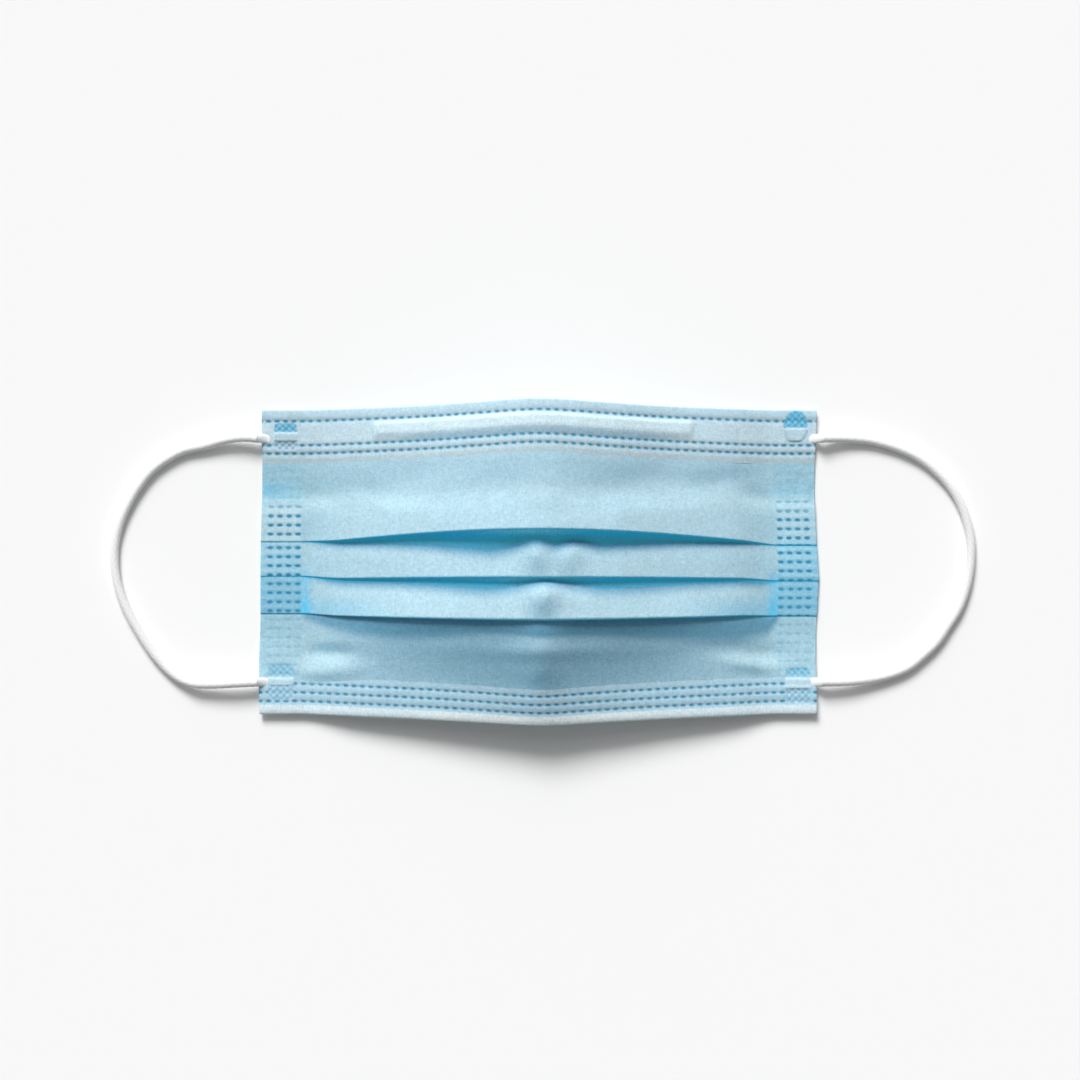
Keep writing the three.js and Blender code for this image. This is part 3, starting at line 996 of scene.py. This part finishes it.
@dataclass
class PleatedCloth:
    """The pleated body of the mask, with the welds of its side bands, in millimetres.

    coarse and fine are how far apart its sections are. upper_rows and lower_rows are the y of a
    row of dashes above and below fold_y, and stack_tops and stack_ends are where the plies of the
    pleats begin and end, each at the left band and at the right one. panel_depth is about how
    much bluer each panel of a band is than the one above it, right_depth how much bluer the
    right band starts, and brow_depth how strongly shade is painted on the bands just above their
    plies, where the cloth dips. lamp_height is how high the light stands, in degrees, for the blue
    shade painted where the cloth faces away from it. lowest is the least height of the underside.
    """

    form: MaskForm
    coarse: float = 1.5
    fine: float = 0.36
    dash_length: float = 1.75
    dash_width: float = 1.0
    dash_depth: float = 0.09
    groove_depth: float = 0.04
    column_pitch: float = 2.87
    first_column: float = 75.9
    last_column: int = 3
    row_pitch: float = 2.84
    fold_y: tuple[float, float] = (5.9, 4.8)
    upper_rows: tuple[float, float] = (8.1, 6.9)
    lower_rows: tuple[float, float] = (3.8, 2.15)
    stack_tops: tuple[float, float] = (17.5, 18.8)
    stack_ends: tuple[float, float] = (-16.8, -17.8)
    panel_depth: float = 0.12
    right_depth: float = 0.16
    brow_depth: float = 0.26
    lamp_height: float = 38.0
    lowest: float = 0.05

    def stations(self) -> np.ndarray:
        """Return the x of each section: close in the bands and wider between them."""
        start = BAND_INNER - 2.0
        middle = np.arange(0.0, start, self.coarse)
        band = np.linspace(start, HALF_WIDTH, int((HALF_WIDTH - start) / self.fine))
        half = np.concatenate([middle, band])
        return np.concatenate([-half[:0:-1], half])

    def rows_from(self, x: float, y: np.ndarray) -> np.ndarray:
        """Return how far each point is from the middle of the nearest row of dashes."""
        end = 0 if x < 0 else 1
        row = np.where(y > self.fold_y[end], self.upper_rows[end], self.lower_rows[end])
        off = (y - row) / self.row_pitch
        return (off - np.round(off)) * self.row_pitch

    def dashes(self, x: float, y: np.ndarray) -> np.ndarray:
        """Return how deep in a weld dash each point of a band is.

        Args:
            x: The section's x.
            y: The points' y.

        Returns:
            0 outside the dashes and 1 in their middle.
        """
        across = abs(x) - self.first_column
        column = np.round(across / self.column_pitch)
        if column < 0 or column > self.last_column:
            return np.zeros_like(y)
        off_x = (across - column * self.column_pitch) / (self.dash_length / 2)
        off_y = self.rows_from(x, y) / (self.dash_width / 2)
        return 1.0 - smooth(0.8, 1.3, np.hypot(off_x, off_y))

    def stacked(self, x: float, y: np.ndarray) -> np.ndarray:
        """Return 1 where a band has all its plies and 0 where it has one."""
        end = 0 if x < 0 else 1
        top, bottom = self.stack_tops[end], self.stack_ends[end]
        return window((bottom - 0.4, bottom + 0.2), (top - 0.9, top), y)

    def grooves(self, x: float, y: np.ndarray) -> np.ndarray:
        """Return how far each point is into the pressed line that joins a row of dashes."""
        band = float(window((BAND_INNER - 0.8, BAND_INNER + 0.2), (86.0, 87.0), abs(x)))
        fade = 0.35 + 0.65 * self.stacked(x, y)
        return band * fade * bell(self.rows_from(x, y), 0.0, 0.55)

    def band_depth(self, x: float, y: np.ndarray, plies: np.ndarray) -> np.ndarray:
        """Return how blue a band is, with shade painted where the cloth dips above its plies.

        Args:
            x: The section's x.
            y: The points' y.
            plies: 1 where a band has all its plies.

        Returns:
            The depth, which grows from one panel to the next.
        """
        rich = self.right_depth if x > 0 else 0.0
        second, third = smooth(5.6, 5.1, y), self.third_panel(y)
        panels = rich * (1.0 - 0.5 * third) + self.panel_depth * third
        panels = panels + (self.panel_depth - rich / 3) * second
        beside = float(smooth(70.0, 86.0, -x) + 0.4 * smooth(70.0, 76.0, x))
        # brow_depth paints shade where the cloth dips just above the plies.
        return plies * panels + self.brow_depth * window((18.5, 20.5), (22.5, 26.0), y) * beside

    def third_panel(self, y: np.ndarray) -> np.ndarray:
        """Return 1 in a band's lowest stretch, the third panel and below it."""
        return smooth(-4.9, -5.4, y)

    def flank(self, x: float, y: np.ndarray) -> np.ndarray:
        """Return the shade of the lower panels beside a band, where they dip to it."""
        near = 0.4 * float(bell(abs(x), BAND_INNER - 1.4, 1.7)) * smooth(-2.0, -6.0, y)
        inward = float(smooth(38.0, 66.0, abs(x)) * smooth(BAND_INNER + 0.6, BAND_INNER - 0.6, abs(x)))
        return (near + 0.25 * inward * smooth(-10.0, -16.0, y)) * self.stacked(x, y)

    def painted_seep(self, line: Outline) -> np.ndarray:
        """Return the blue shade painted where the cloth faces away from the lamp, for the light that comes
        through it.
        """
        height = math.radians(self.lamp_height)
        facing = normals_of(line) @ np.array([math.cos(height), math.sin(height)])
        return np.clip(0.42 - 0.56 * facing, 0.0, 0.42)

    def tint(self, line: Outline, x: float, marks: np.ndarray, weld: np.ndarray) -> np.ndarray:
        """Return the colour channels of a section.

        Args:
            line: The section's upper side.
            x: The section's x.
            marks: How far each row is along the table of lines.
            weld: How deep in a dash each point is.

        Returns:
            Weld, depth and pallor for each point.
        """
        y = line[:, 0]
        band = float(smooth(BAND_INNER - 0.6, BAND_INNER + 0.6, abs(x)))
        stack = self.stacked(x, y)
        plies = band * stack
        # Each fold paints its shadow: grey shade, blue shade and, at the top of the gap, light.
        murk, dusk, painted_gap_light = sum(gap.shade(x, self.form, line, marks) for gap in GAPS)
        # Blue shade is painted beside the bands, below the folds and on slopes turned from the lamp, on
        # top of the plies' own blue.
        depth = self.band_depth(x, y, plies) + 0.04 * band + self.flank(x, y) + dusk + self.painted_seep(line)
        depth = np.clip(depth + 0.14 * self.grooves(x, y), 0.0, 1.0)
        faint = 1.0 - 0.55 * smooth(14.8, 15.6, y)
        # The grey shade painted below the folds takes the film colour of the welds.
        film = np.clip(murk + 0.2 * self.third_panel(y) * plies, 0.0, 1.0)
        pressed = np.maximum(weld * (0.14 + 0.86 * stack) * faint, film)
        # The ridges between the rows of dashes are painted paler, a painted highlight, and the plies are
        # paler above y 6.6.
        between = bell(np.abs(self.rows_from(x, y)), self.row_pitch / 2, 0.5)
        ridge = plies * (0.25 * between + 0.3 * smooth(6.0, 6.6, y))
        tint = np.stack([pressed, depth, ridge + painted_gap_light], axis=1)
        for knurl in KNURLS:
            tint = knurl.stain(x, y, tint)
        return tint

    def build(self, upper: bpy.types.Material, lower: bpy.types.Material) -> bpy.types.Object:
        """Build the cloth.

        Args:
            upper: The blue outer ply's material.
            lower: The white inner ply's material.

        Returns:
            The cloth.
        """
        shell = Shell("pleated_cloth", self.form)
        marks = self.form.row_marks()
        for x in self.stations():
            line = self.form.middle(x)
            y = line[:, 0]
            line[:, 1] += sum(dent.height(x, y) for dent in DENTS) * float(smooth(86.0, 70.0, abs(x)))
            line[:, 1] += sum(knurl.relief(x, y) for knurl in KNURLS) * smooth(13.5, 14.5, marks)
            normal = normals_of(line)
            weld = self.dashes(x, y)
            half = self.form.half_thickness(x)
            press = self.dash_depth * weld * (0.5 + 0.5 * self.stacked(x, y))
            press = press + self.groove_depth * self.grooves(x, y)
            top = line + normal * (half - press)[:, None]
            under = (line - normal * half)[::2]
            under[:, 1] = np.maximum(under[:, 1], self.lowest)
            shell.add(x, top, under, self.tint(top, x, marks, weld))
        return shell.close(upper, lower)


@dataclass
class Hem:
    """Cloth folded over an edge and welded down in rows of dashes, in millimetres.

    weld_rows are distances in from the edge. play is the room between the hem and the cloth. lip
    is how wide the rounded edge is, and sink how far the hem's inner end sinks into the cloth.
    pocket_depths say how far the ply turned under hangs off the cloth at each x in
    pocket_places, where it wraps the wire. lowest_top and lowest_under are the least heights of
    the outer and the inner side.
    """

    name: str
    form: MaskForm
    edge: Edge
    width: float
    weld_rows: tuple[float, ...]
    under_width: float = 8.0
    thickness: float = 0.3
    play: float = 0.03
    plump: float = 0.45
    rounding: float = 2.6
    lip: float = 1.2
    sink: float = 0.58
    dash_pitch: float = 2.66
    dash_length: float = 1.7
    dash_width: float = 0.95
    dash_depth: float = 0.14
    wire_from: float = -51.5
    wire_to: float = 47.5
    wire_rise: float = 0.7
    pocket_places: tuple[float, ...] = (-56.0, -53.0, -38.0, -24.0, -12.0, 2.0, 16.0, 30.0, 48.0, 51.0)
    pocket_depths: tuple[float, ...] = (0.0, 0.8, 1.4, 1.85, 1.6, 0.95, 1.4, 1.45, 0.9, 0.0)
    lowest_top: float = 0.06
    lowest_under: float = 0.1

    def pocket(self, x: float, inset: np.ndarray) -> np.ndarray:
        """Return how far the ply turned under hangs off the cloth, where it wraps the wire."""
        if self.edge is Edge.CHIN:
            return np.zeros_like(inset)
        return float(np.interp(x, self.pocket_places, self.pocket_depths)) * smooth(0.3, 2.0, inset)

    def lift(self, x: float, inset: np.ndarray) -> np.ndarray:
        """Return how far the outer side stands off the cloth below it.

        Args:
            x: The section's x.
            inset: Distances in from the edge.

        Returns:
            The heights.
        """
        puff = np.full_like(inset, self.plump)
        for row in self.weld_rows:
            puff *= 1.0 - 0.4 * bell(inset, row, 0.8)
        puff *= smooth(self.width + 0.2, self.width - 3.0, inset) * 0.8 + 0.2
        puff *= 1.0 - (1.0 - np.clip(inset / self.rounding, 0.0, 1.0)) ** 2
        if self.edge is Edge.NOSE:
            start, end = self.wire_from, self.wire_to
            along = window((start - 1.2, start + 0.8), (end - 0.8, end + 1.2), x)
            puff = puff + self.wire_rise * along * window((3.6, 5.6), (7.4, 11.0), inset)
        return puff

    def insets(self) -> tuple[np.ndarray, np.ndarray]:
        """Return how far in from the edge the points are, over the cloth and under it."""
        face = np.linspace(self.width, self.lip, int(self.width / 0.5) * 2 + 1)
        bend = self.lip * (1.0 - np.sin(np.linspace(0.0, math.pi / 2, 9)))
        over = np.concatenate([face[:-1], bend[:-1], [0.0]])
        return over[len(over) % 2 :], np.linspace(0.0, self.under_width, 18)[1:]

    def wrap(self, strip: Outline, clear: float, inset: np.ndarray, height: np.ndarray) -> Outline:
        """Return points that stand off the cloth and go round its edge.

        Args:
            strip: The cloth's middle surface, from the edge inwards.
            clear: How far off it the hem's middle is at the edge.
            inset: The points' distances in from the hem's edge.
            height: How far they stand off the cloth's middle, less than 0 below it.

        Returns:
            The points as y and z.
        """
        normal = normals_of(strip)
        normal = np.where(normal[:, 1:] < 0, -normal, normal)
        reach = distances(strip)
        run = np.maximum(inset - clear, 0.0)
        y, z, ny, nz = (np.interp(run, reach, column) for column in np.column_stack([strip, normal]).T)
        share = np.minimum(inset, clear) / clear
        bend = np.sqrt(np.maximum(0.0, 1.0 - (1.0 - share) ** 2))
        out = (1.0 - share) * (clear if self.edge is Edge.NOSE else -clear)
        return np.stack([y + ny * height * bend + out, z + nz * height * bend], axis=1)

    def edge_height(self, x: float) -> float:
        """Return how high the cloth's edge is at x."""
        return float(self.form.edge_strip(x, self.edge)[0][1])

    def build(self, outer: bpy.types.Material, inner: bpy.types.Material) -> bpy.types.Object:
        """Build the hem.

        Args:
            outer: The material of the side that shows.
            inner: The material of the side against the cloth.

        Returns:
            The hem.
        """
        stations, along = arc_stations(self.edge_height, self.dash_pitch / 6)
        shell = Shell(self.name, self.form)
        for x, distance in zip(stations, along):
            shell.add(x, *self.section(x, distance))
        return shell.close(outer, inner)

    def section(self, x: float, along: float) -> tuple[Outline, Outline, np.ndarray]:
        """Return the hem's shape and colour at one section.

        Args:
            x: The section's x.
            along: Its distance from the middle, along the cloth.

        Returns:
            The outer side, the inner side, and the outer side's colour channels.
        """
        over, under = self.insets()
        strip = self.form.edge_strip(x, self.edge)
        clear = self.form.half_thickness(x) + self.thickness / 2 + self.play
        sink = self.sink * smooth(self.width - 7.0, self.width + 1.5, over)
        above = self.wrap(strip, clear, over, clear + self.lift(x, over) - sink)
        below = self.wrap(strip, clear, under, -clear - self.pocket(x, under))
        y = above[:, 0].copy()
        patch = np.max([knurl.inside(x, y) for knurl in KNURLS], axis=0)
        above[:, 1] += sum(knurl.relief(x, y) for knurl in KNURLS)
        line = np.concatenate([above, below])
        weld = np.concatenate([self.dashes(along, over) * (1.0 - patch), np.zeros(len(below))])
        tint = self.tint(x, np.concatenate([over, -under]), weld)
        for knurl in KNURLS:
            tint[: len(y)] = knurl.stain(x, y, tint[: len(y)])
        if self.edge is Edge.NOSE:
            line, weld, tint = line[::-1], weld[::-1], tint[::-1]
        outward = normals_of(line)
        top = line + outward * (self.thickness / 2 - self.dash_depth * weld)[:, None]
        bottom = (line - outward * self.thickness / 2)[::2]
        top[:, 1] = np.maximum(top[:, 1], self.lowest_top)
        bottom[:, 1] = np.maximum(bottom[:, 1], self.lowest_under)
        return top, bottom, tint

    def dashes(self, along: float, inset: np.ndarray) -> np.ndarray:
        """Return how deep in a weld dash each point is.

        Args:
            along: The distance from the middle, along the cloth.
            inset: Distances in from the edge.

        Returns:
            0 outside the dashes and 1 in their middle.
        """
        turns = along / self.dash_pitch
        off_x = (turns - round(turns)) * self.dash_pitch / (self.dash_length / 2)
        nearest = np.min([np.abs(inset - row) for row in self.weld_rows], axis=0)
        return 1.0 - smooth(0.7, 1.3, np.hypot(off_x, nearest / (self.dash_width / 2)))

    def tint(self, x: float, inset: np.ndarray, weld: np.ndarray) -> np.ndarray:
        """Return the colour channels of a section.

        Args:
            x: The section's x.
            inset: Distances in from the edge.
            weld: How deep in a dash each point is.

        Returns:
            Weld, depth and pallor for each point.
        """
        if self.edge is Edge.NOSE:
            depth, pallor = self.nose_shades(x, inset)
        else:
            depth = np.zeros_like(inset)
            # The chin hem's rim is pale, and is painted paler towards the middle as painted light, against
            # the shade where its slope turns from the lamp.
            pallor = (0.92 - 0.27 * float(smooth(15.0, 50.0, abs(x)))) * smooth(3.2, 2.5, inset)
        return np.stack([weld, depth, pallor], axis=1)

    def nose_shades(self, x: float, inset: np.ndarray) -> tuple[np.ndarray, np.ndarray]:
        """Return the depth and the pallor of the nose hem: pale over the wire, with painted shade
        below its bulge and painted highlights between its last two rows and below them.

        Args:
            x: The section's x.
            inset: Distances in from the edge.

        Returns:
            The depth and the pallor of each point.
        """
        wire = float(window((self.wire_from - 1.0, self.wire_from), (self.wire_to, self.wire_to + 1.0), x))
        middle, last = self.weld_rows[1:]
        # Painted shade: a band below the wire's bulge is darker and bluer, and less pale.
        shade = float(window((-51.0, -34.0), (32.0, 49.0), x)) * window((8.0, 9.6), (10.8, 12.2), inset)
        pallor = (0.42 - 0.42 * shade) * window((4.0, 4.6), (10.2, 11.0), inset)
        pallor = pallor + 0.35 * wire * window((4.2, 4.8), (8.0, 8.6), inset)
        # Painted highlights: the ridge between the last two rows and the strip below the last row are
        # paler.
        pallor = pallor + 0.3 * bell(inset, (middle + last) / 2, 0.6)
        return 0.16 * shade, pallor + 0.6 * smooth(last + 0.5, last + 1.2, inset)


@dataclass
class EarLoop:
    """A round elastic that lies on the table from one weld round to the other, in millimetres.

    Its cover has as many strands each way as strands says, and after one plait along the cord
    each stands where its neighbour did. core and relief are shares of the radius: how far out the
    cover's hollows are, and how much farther its ribs are.
    """

    side: Side
    route: tuple[tuple[float, float, float], ...]
    radius: float = 1.4
    sides: int = 20
    step: float = 0.45
    strands: int = 5
    plait: float = 2.4
    core: float = 0.95
    relief: float = 0.07

    def path(self) -> np.ndarray:
        """Return the cord's centreline in metres, close enough together to follow it."""
        corners = np.array(self.route)
        corners[:, 0] *= self.side.value
        curve = flowing(corners, [12] * (len(corners) - 1))
        length = distances(curve)
        even = np.linspace(0.0, length[-1], int(length[-1] / self.step))
        return np.stack([np.interp(even, length, curve[:, k]) for k in range(3)], axis=1) * MM

    def build(self, material: bpy.types.Material) -> bpy.types.Object:
        """Build the cord.

        Args:
            material: The elastic's material.

        Returns:
            The cord.
        """
        path = self.path()
        along = np.gradient(path, axis=0)
        along /= np.linalg.norm(along, axis=1)[:, None]
        flat = np.cross(along, (0.0, 0.0, 1.0))
        flat /= np.linalg.norm(flat, axis=1)[:, None]
        rise = np.cross(flat, along)
        angles = np.arange(self.sides) * 2 * math.pi / self.sides
        strands = angles[None, :] * self.strands
        twist = np.arange(len(path))[:, None] * self.step * 2 * math.pi / self.plait
        knit = 0.5 + 0.25 * (np.cos(strands + twist) + np.cos(strands - twist))
        reach = self.radius * MM * (self.core + self.relief * knit)
        out, up = np.cos(angles)[:, None], np.sin(angles)[:, None]
        around = out * flat[:, None] + up * rise[:, None]
        points = path[:, None] + around * reach[..., None]
        name = f"elastic_{self.side.name.lower()}"
        none = np.zeros_like(knit)
        # The first channel paints shade into the hollows of the knit, where its ribs are low.
        piece = tube(name, points, np.stack([1 - knit, none, none], axis=-1), material)
        return piece


def tube(name: str, points: np.ndarray, dye_with_painted_light: np.ndarray, material: bpy.types.Material) -> bpy.types.Object:
    """Make a closed tube.

    Args:
        name: The piece's name.
        points: Points by station and by angle, in metres.
        dye_with_painted_light: Their colour channels.
        material: Its material.

    Returns:
        The tube, with its ends closed.
    """
    count, sides = points.shape[:2]
    c = np.arange(count - 1)[:, None] * sides
    i = np.arange(sides)[None, :]
    j = (i + 1) % sides
    faces = np.stack([c + i, c + sides + i, c + sides + j, c + j], axis=-1).reshape(-1, 4).tolist()
    faces.append(list(range(sides)))
    faces.append([(count - 1) * sides + k for k in range(sides)][::-1])
    return new_piece(name, points.reshape(-1, 3), faces, dye_with_painted_light.reshape(-1, 3), (material,))


@dataclass
class LoopWeld:
    """The end of an ear loop, pressed flat into the mask's face, in millimetres.

    It is worn inwards of wear_from, more and more over wear_length, up to most_wear.
    """

    side: Side
    y: float
    name: str
    face_z: float = 1.9
    sides: int = 20
    stations: int = 60
    wear_from: float = 86.0
    wear_length: float = 4.0
    most_wear: float = 0.3

    def build(self, material: bpy.types.Material) -> bpy.types.Object:
        """Build the flattened end.

        Args:
            material: The elastic's material.

        Returns:
            The end.
        """
        z = self.face_z
        # Each row is a distance from the middle, half a width, half a thickness and a height.
        control = np.array(
            [
                (89.4, 1.4, 1.4, 3.5),
                (88.6, 1.4, 1.3, z + 1.4),
                (87.7, 1.4, 1.0, z + 0.8),
                (86.8, 1.4, 0.6, z + 0.35),
                (85.8, 1.3, 0.3, z),
                (84.2, 1.2, 0.2, z - 0.2),
                (81.8, 0.9, 0.2, z - 0.6),
            ]
        )
        spots = np.linspace(0.0, len(control) - 1.0, self.stations)
        rows = [np.interp(spots, range(len(control)), column) for column in control.T]
        x, half_y, half_z, middle_z = (np.repeat(row[:, None], self.sides, axis=1) for row in rows)
        angles = np.arange(self.sides) * 2 * math.pi / self.sides
        y = self.y + half_y * np.cos(angles)
        points = np.stack([self.side.value * x, y, middle_z + half_z * np.sin(angles)], axis=-1) * MM
        if self.side is Side.LEFT:
            points = points[:, ::-1]
        wear = np.clip((self.wear_from - x) / self.wear_length, 0.0, 1.0) * self.most_wear
        none = np.zeros_like(wear)
        return tube(self.name, points, np.stack([none, wear, none], axis=-1), material)


@dataclass
class Studio:
    """The table, the soft light from above the nose edge, and the camera straight above, in metres."""

    camera_height: float = 1.0
    view_width: float = 0.3405
    sensor: float = 36.0
    centre: tuple[float, float] = (0.00016, 0.0063)
    table_size: float = 6.0
    light_elevation: float = 37.5
    light_azimuth: float = 15.0
    key_share: float = 0.8
    key_spread: float = 24.0
    soft_spread: float = 64.0
    sun: float = 4.1
    sky: float = 0.22

    def build(self) -> None:
        """Set up the table, the lights and the camera."""
        scene = bpy.context.scene
        scene.view_settings.view_transform = "Standard"
        self.set_table()
        world = bpy.data.worlds.new("studio")
        world.use_nodes = True
        background = world.node_tree.nodes["Background"]
        background.inputs["Color"].default_value = (1.0, 1.0, 1.0, 1.0)
        background.inputs["Strength"].default_value = self.sky
        scene.world = world
        self.hang_lamp("key", self.key_share, self.key_spread)
        self.hang_lamp("soft", 1 - self.key_share, self.soft_spread)
        lens = bpy.data.cameras.new("camera")
        lens.sensor_width = self.sensor
        lens.lens = self.sensor * self.camera_height / self.view_width
        camera = bpy.data.objects.new("camera", lens)
        camera.location = (*self.centre, self.camera_height)
        scene.collection.objects.link(camera)
        scene.camera = camera

    def set_table(self) -> None:
        """Lay the table under the mask."""
        bpy.ops.object.select_all(action="DESELECT")
        bpy.ops.mesh.primitive_plane_add(size=self.table_size, location=(0.0, 0.0, 0.0))
        table = bpy.context.active_object
        table.name = "table"
        table.data.materials.append(TableTop().material())

    def hang_lamp(self, name: str, share: float, spread: float) -> None:
        """Hang a lamp far off.

        Args:
            name: The lamp's name.
            share: Its share of the light.
            spread: How wide it looks from the mask, in degrees.
        """
        lamp = bpy.data.lights.new(name, "SUN")
        lamp.energy = self.sun * share
        lamp.angle = math.radians(spread)
        holder = bpy.data.objects.new(name, lamp)
        tilt = math.radians(90.0 - self.light_elevation)
        holder.rotation_euler = (-tilt, 0.0, math.radians(self.light_azimuth))
        bpy.context.scene.collection.objects.link(holder)


# How high the middle of a cord is where it lies on the table.
LAID = 1.45

# Where the ends of both ear loops are welded on, in Y.
LOOP_ENDS = {Edge.NOSE: 38.2, Edge.CHIN: -38.4}

# The two cords' routes from the nose weld to the chin weld, in millimetres, with X outwards.
LEFT_ROUTE = (
    (88.5, 38.2, 3.6), (93.0, 38.5, 3.2), (99.2, 37.7, 2.4), (105.7, 35.9, 1.7),
    (112.1, 34.5, LAID), (117.2, 31.9, LAID), (121.7, 28.6, LAID), (125.5, 24.2, LAID),
    (129.0, 18.5, LAID), (131.9, 12.1, LAID), (133.5, 5.7, LAID), (133.8, -0.1, LAID),
    (133.2, -5.8, LAID), (131.6, -11.6, LAID), (128.7, -18.0, LAID), (124.9, -24.4, LAID),
    (121.0, -30.1, LAID), (117.2, -34.3, LAID), (113.3, -37.2, 1.9), (108.9, -38.8, 2.8),
    (103.1, -39.1, 3.3), (96.7, -38.8, 3.7), (88.5, -38.4, 3.6),
)
RIGHT_ROUTE = (
    (88.5, 38.2, 3.5), (91.9, 38.3, 2.7), (97.7, 38.3, 1.9), (104.0, 37.7, 1.5),
    (109.2, 36.5, LAID), (114.9, 34.5, LAID), (120.0, 31.9, LAID), (124.5, 28.4, LAID),
    (129.0, 23.6, LAID), (132.2, 18.5, LAID), (134.5, 12.7, LAID), (135.7, 7.0, LAID),
    (135.9, 1.8, LAID), (135.4, -3.9, LAID), (134.1, -9.7, LAID), (131.9, -15.4, LAID),
    (128.7, -20.5, LAID), (125.2, -25.7, LAID), (120.7, -30.1, LAID), (116.2, -33.7, LAID),
    (111.1, -35.9, 1.6), (106.0, -37.2, 1.9), (97.7, -38.2, 2.9), (88.5, -38.4, 3.6),
)


def settle(piece: bpy.types.Object, slot: str, *nodes: str) -> None:
    """Attach a finished piece to the model.

    Args:
        piece: The piece.
        slot: The record's material slot; not used.
        *nodes: The solids that it stands for.
    """
    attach(piece, "root")
    if nodes:
        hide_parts(*nodes)
    LOG.info("%s: %d faces", piece.name, len(piece.data.polygons))


def main(frame: dict) -> None:
    """Build the studio and then the mask, piece by piece.

    Args:
        frame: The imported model, with its solids under "nodes".
    """
    Studio().build()
    elastic = KnittedElastic().material()
    outer = OUTER.material()
    inner = INNER.material()
    for side, route in ((Side.LEFT, LEFT_ROUTE), (Side.RIGHT, RIGHT_ROUTE)):
        name = side.name.lower()
        loop = EarLoop(side, route).build(elastic)
        settle(loop, "elastic", f"ear_loop_{name}")
        for end, y in LOOP_ENDS.items():
            weld = LoopWeld(side, y, f"pressed_end_{end.value}_{name}").build(elastic)
            settle(weld, "elastic", f"loop_weld_{end.value}_{name}")
    form = MaskForm()
    cloth = PleatedCloth(form).build(outer, inner)
    settle(cloth, "outer_cloth", "pleated_panel")
    nose = Hem("nose_binding", form, Edge.NOSE, 17.2, NOSE_ROWS).build(NOSE.material(), inner)
    settle(nose, "hem_cloth", "nose_hem")
    chin_hem = Hem("chin_binding", form, Edge.CHIN, 12.6, CHIN_ROWS, plump=0.32, rounding=1.6)
    chin = chin_hem.build(CHIN.material(), inner)
    settle(chin, "hem_cloth", "chin_hem")
    wire = frame["nodes"]["nose_wire"]
    wire.data.materials.clear()
    wire.data.materials.append(CoatedWire().material())


if __name__ == "__main__":
    logging.basicConfig(level=logging.INFO)
    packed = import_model()
    main(packed)
